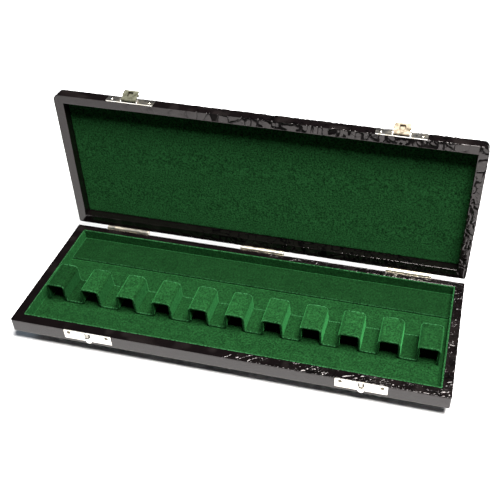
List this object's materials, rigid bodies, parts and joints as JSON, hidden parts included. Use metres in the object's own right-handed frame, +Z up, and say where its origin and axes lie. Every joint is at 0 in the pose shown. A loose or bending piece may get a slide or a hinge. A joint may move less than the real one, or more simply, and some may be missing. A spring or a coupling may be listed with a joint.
{
  "type": "fountain pen case",
  "caption": "Long shallow hinged display case for fountain pens, black croc-grain leatherette outside, green velvet inside, corrugated pen rest and front lever catches.",
  "frame": {"origin": "centre of the underside of the base", "axes": "+X to the right along the length, +Y to the hinges at the back, +Z up; drawn with the lid standing open"},
  "size_m": [0.44, 0.1841, 0.1847],
  "materials": {
    "leatherette": "glossy black leatherette embossed with a crocodile grain",
    "green_velvet": "short-pile green velvet on card",
    "core_board": "plain sawn board, hidden under the covering",
    "underside_cloth": "plain black backing cloth",
    "hinge_nickel": "nickel-plated steel, slightly yellowed",
    "catch_nickel": "nickel-plated stamped plate",
    "lever_brass_nickel": "nickel-plated brass, plating thin on the edges",
    "pin_steel": "plain steel wire pin",
    "nail_nickel": "domed nickel-plated nail"
  },
  "bodies": {
    "base": {"back_pad": "green_velvet", "base_back_board": "core_board", "base_bottom_board": "core_board", "base_catch_left": "catch_nickel", "base_catch_nails": "nail_nickel", "base_catch_right": "catch_nickel", "base_cover": "leatherette", "base_front_board": "core_board", "base_left_board": "core_board", "base_right_board": "core_board", "base_underside_sheet": "underside_cloth", "hinge_base_nails": "nail_nickel", "hinge_left_base_leaf": "hinge_nickel", "hinge_left_pin": "pin_steel", "hinge_middle_base_leaf": "hinge_nickel", "hinge_middle_pin": "pin_steel", "hinge_right_base_leaf": "hinge_nickel", "hinge_right_pin": "pin_steel", "lining_back": "green_velvet", "lining_floor": "green_velvet", "lining_front": "green_velvet", "lining_left": "green_velvet", "lining_right": "green_velvet", "pen_rest": "green_velvet"},
    "lid": {"hinge_left_lid_leaf": "hinge_nickel", "hinge_lid_nails": "nail_nickel", "hinge_middle_lid_leaf": "hinge_nickel", "hinge_right_lid_leaf": "hinge_nickel", "latch_left_pin": "pin_steel", "latch_right_pin": "pin_steel", "lid_back_board": "core_board", "lid_catch_left": "catch_nickel", "lid_catch_nails": "nail_nickel", "lid_catch_right": "catch_nickel", "lid_cover": "leatherette", "lid_front_board": "core_board", "lid_left_board": "core_board", "lid_lining": "green_velvet", "lid_right_board": "core_board", "lid_top_board": "core_board"},
    "latch_left": {"latch_left_lever": "lever_brass_nickel"},
    "latch_right": {"latch_right_lever": "lever_brass_nickel"}
  },
  "joints": [
    {"name": "lid_hinge", "type": "hinge", "parent": "base", "child": "lid", "pos_m": [0, 0.0822, 0.0154], "axis": [1, 0, 0], "range_deg": [0, 92]},
    {"name": "latch_left_pivot", "type": "hinge", "parent": "lid", "child": "latch_left", "pos_m": [-0.137, 0.09022, 0.17902], "axis": [1, 0, 0], "range_deg": [-15, 150]},
    {"name": "latch_right_pivot", "type": "hinge", "parent": "lid", "child": "latch_right", "pos_m": [0.137, 0.09022, 0.17902], "axis": [1, 0, 0], "range_deg": [-15, 150]}
  ]
}
